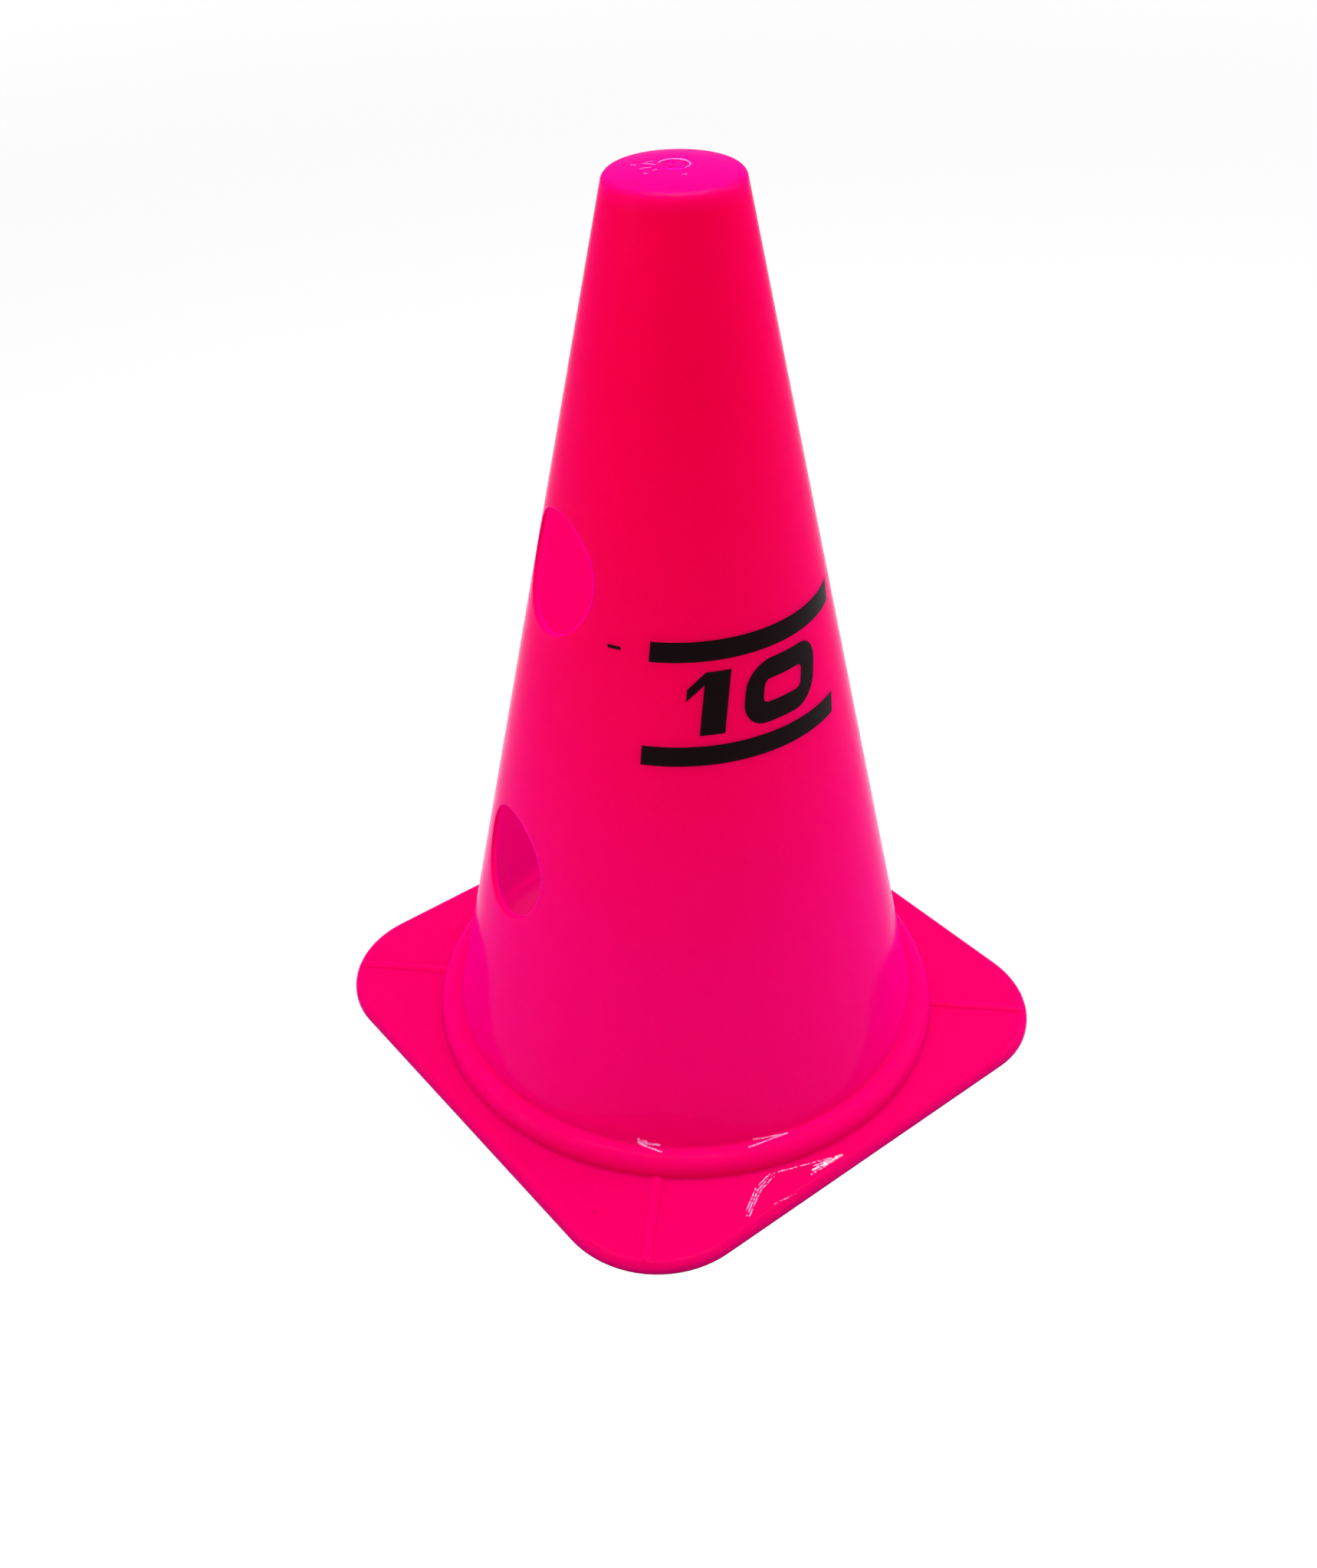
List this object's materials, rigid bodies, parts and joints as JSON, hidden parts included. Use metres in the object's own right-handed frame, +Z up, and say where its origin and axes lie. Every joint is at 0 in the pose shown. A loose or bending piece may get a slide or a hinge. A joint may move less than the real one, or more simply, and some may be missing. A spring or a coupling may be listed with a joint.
{
  "type": "training cone",
  "caption": "Hollow moulded training cone on a square base plate, with through holes in its wall for a hurdle pole and a plain printed number.",
  "frame": {"origin": "centre of the base, on the floor", "axes": "+Z up along the cone's axis, X and Y square to the sides of the base, the print faces -Y and the pole holes face -X and +X, turned 10.8 degrees"},
  "size_m": [0.15, 0.15, 0.2312],
  "materials": {
    "moulded_plastic": "smooth glossy moulded surface, vivid pink all through",
    "printed_ink": "black pad-printed ink, half gloss"
  },
  "bodies": {
    "root": {"cone_shell": "moulded_plastic", "print_bar_upper": "printed_ink", "print_bar_lower": "printed_ink", "print_numeral_1": "printed_ink", "print_numeral_0": "printed_ink", "print_tick": "printed_ink"}
  },
  "joints": []
}
